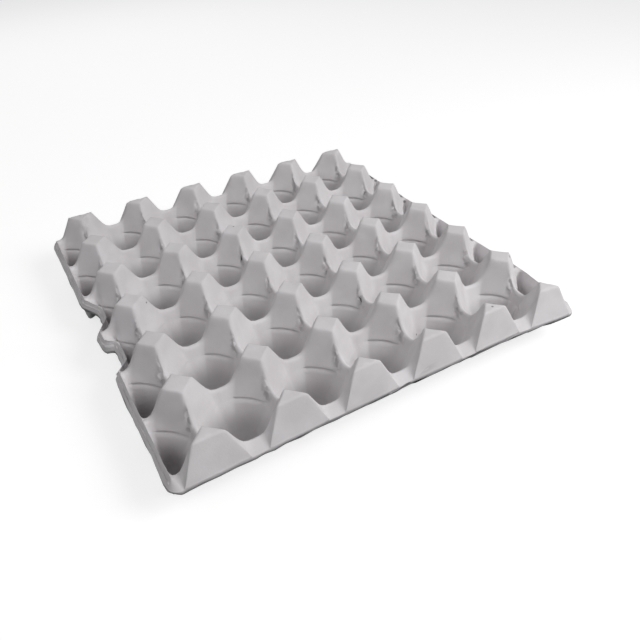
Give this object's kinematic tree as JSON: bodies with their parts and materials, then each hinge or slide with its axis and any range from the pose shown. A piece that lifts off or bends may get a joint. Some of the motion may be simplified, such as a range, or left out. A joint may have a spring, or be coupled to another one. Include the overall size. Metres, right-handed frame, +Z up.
{
  "type": "egg tray",
  "caption": "Moulded grey paper pulp tray with rows of round egg cups between flat-topped posts, flat feet, cut-off ends, a narrow lip and finger notches in one side.",
  "frame": {"origin": "centre of the tray's outline, in the plane of the undersides of its feet", "axes": "+Z up out of the cups; +X across the rows of five cups, away from the side with the finger notches; +Y from the front cut ends to the back"},
  "size_m": [0.295, 0.2964, 0.048],
  "materials": {
    "pulp": "matte, fibrous grey paper pulp"
  },
  "bodies": {
    "root": {"tray": "pulp"}
  },
  "joints": []
}
